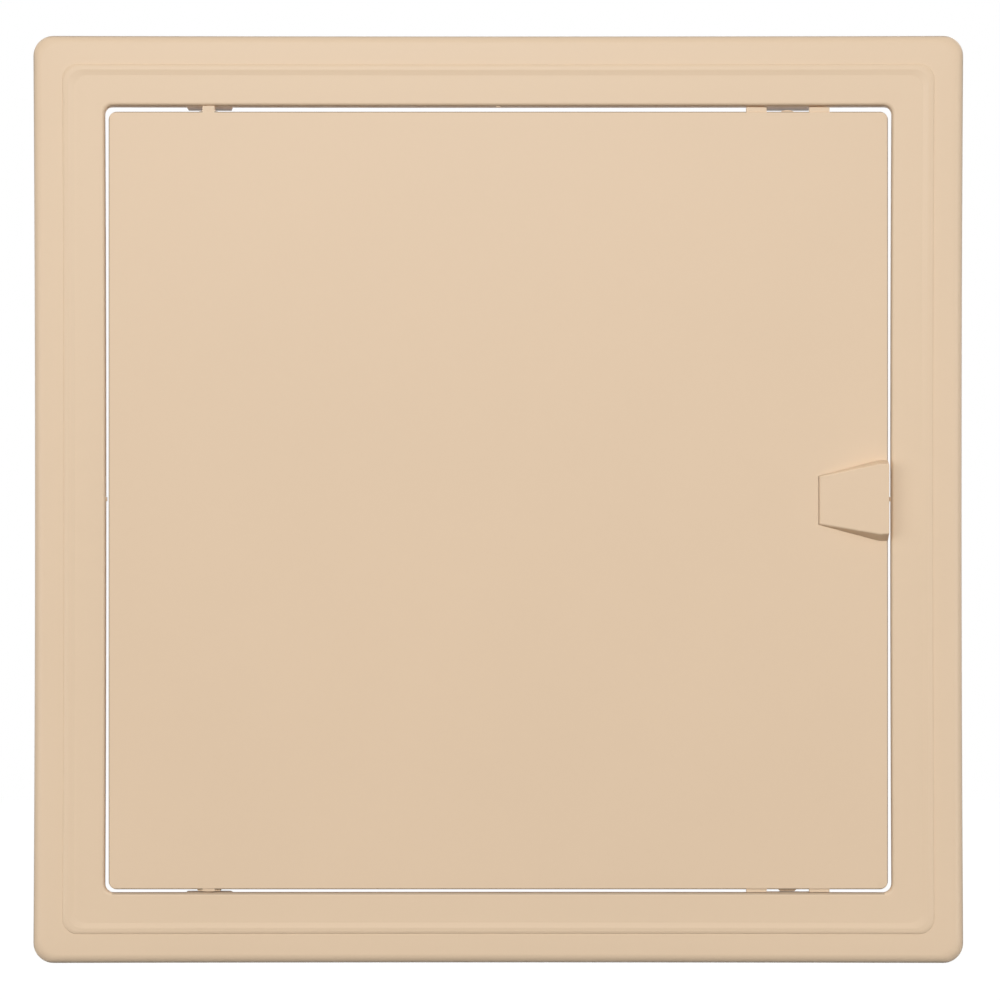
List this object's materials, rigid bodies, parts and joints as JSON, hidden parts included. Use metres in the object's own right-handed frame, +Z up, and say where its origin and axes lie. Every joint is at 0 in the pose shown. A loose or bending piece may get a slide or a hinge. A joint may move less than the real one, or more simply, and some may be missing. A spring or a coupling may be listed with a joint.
{
  "type": "access panel",
  "caption": "Square plastic access panel: a beaded rim on a collar, with a flat door that swings outward on upright pins, snap catches and a hollow finger pull.",
  "frame": {"origin": "centre of the opening, in the plane of the rim's back, which is the surface of the board the panel is set in", "axes": "+Y runs from the face into the wall or ceiling, so the face looks along -Y; +Z is up as pictured and runs along the hinge; +X runs from the hinge side to the finger pull"},
  "size_m": [0.22, 0.0213, 0.22],
  "materials": {
    "frame_plastic": "satin moulded beige plastic",
    "door_plastic": "satin moulded beige plastic"
  },
  "bodies": {
    "frame": {"frame": "frame_plastic"},
    "door": {"door_panel": "door_plastic", "finger_pull": "door_plastic", "hinge_pin_top": "door_plastic", "hinge_pin_bottom": "door_plastic", "catch_top": "door_plastic", "catch_bottom": "door_plastic"}
  },
  "joints": [
    {"name": "door_hinge", "type": "hinge", "parent": "frame", "child": "door", "pos_m": [-0.0682, -0.0014, -0.0003], "axis": [0, 0, -1], "range_deg": [0, 120]}
  ]
}
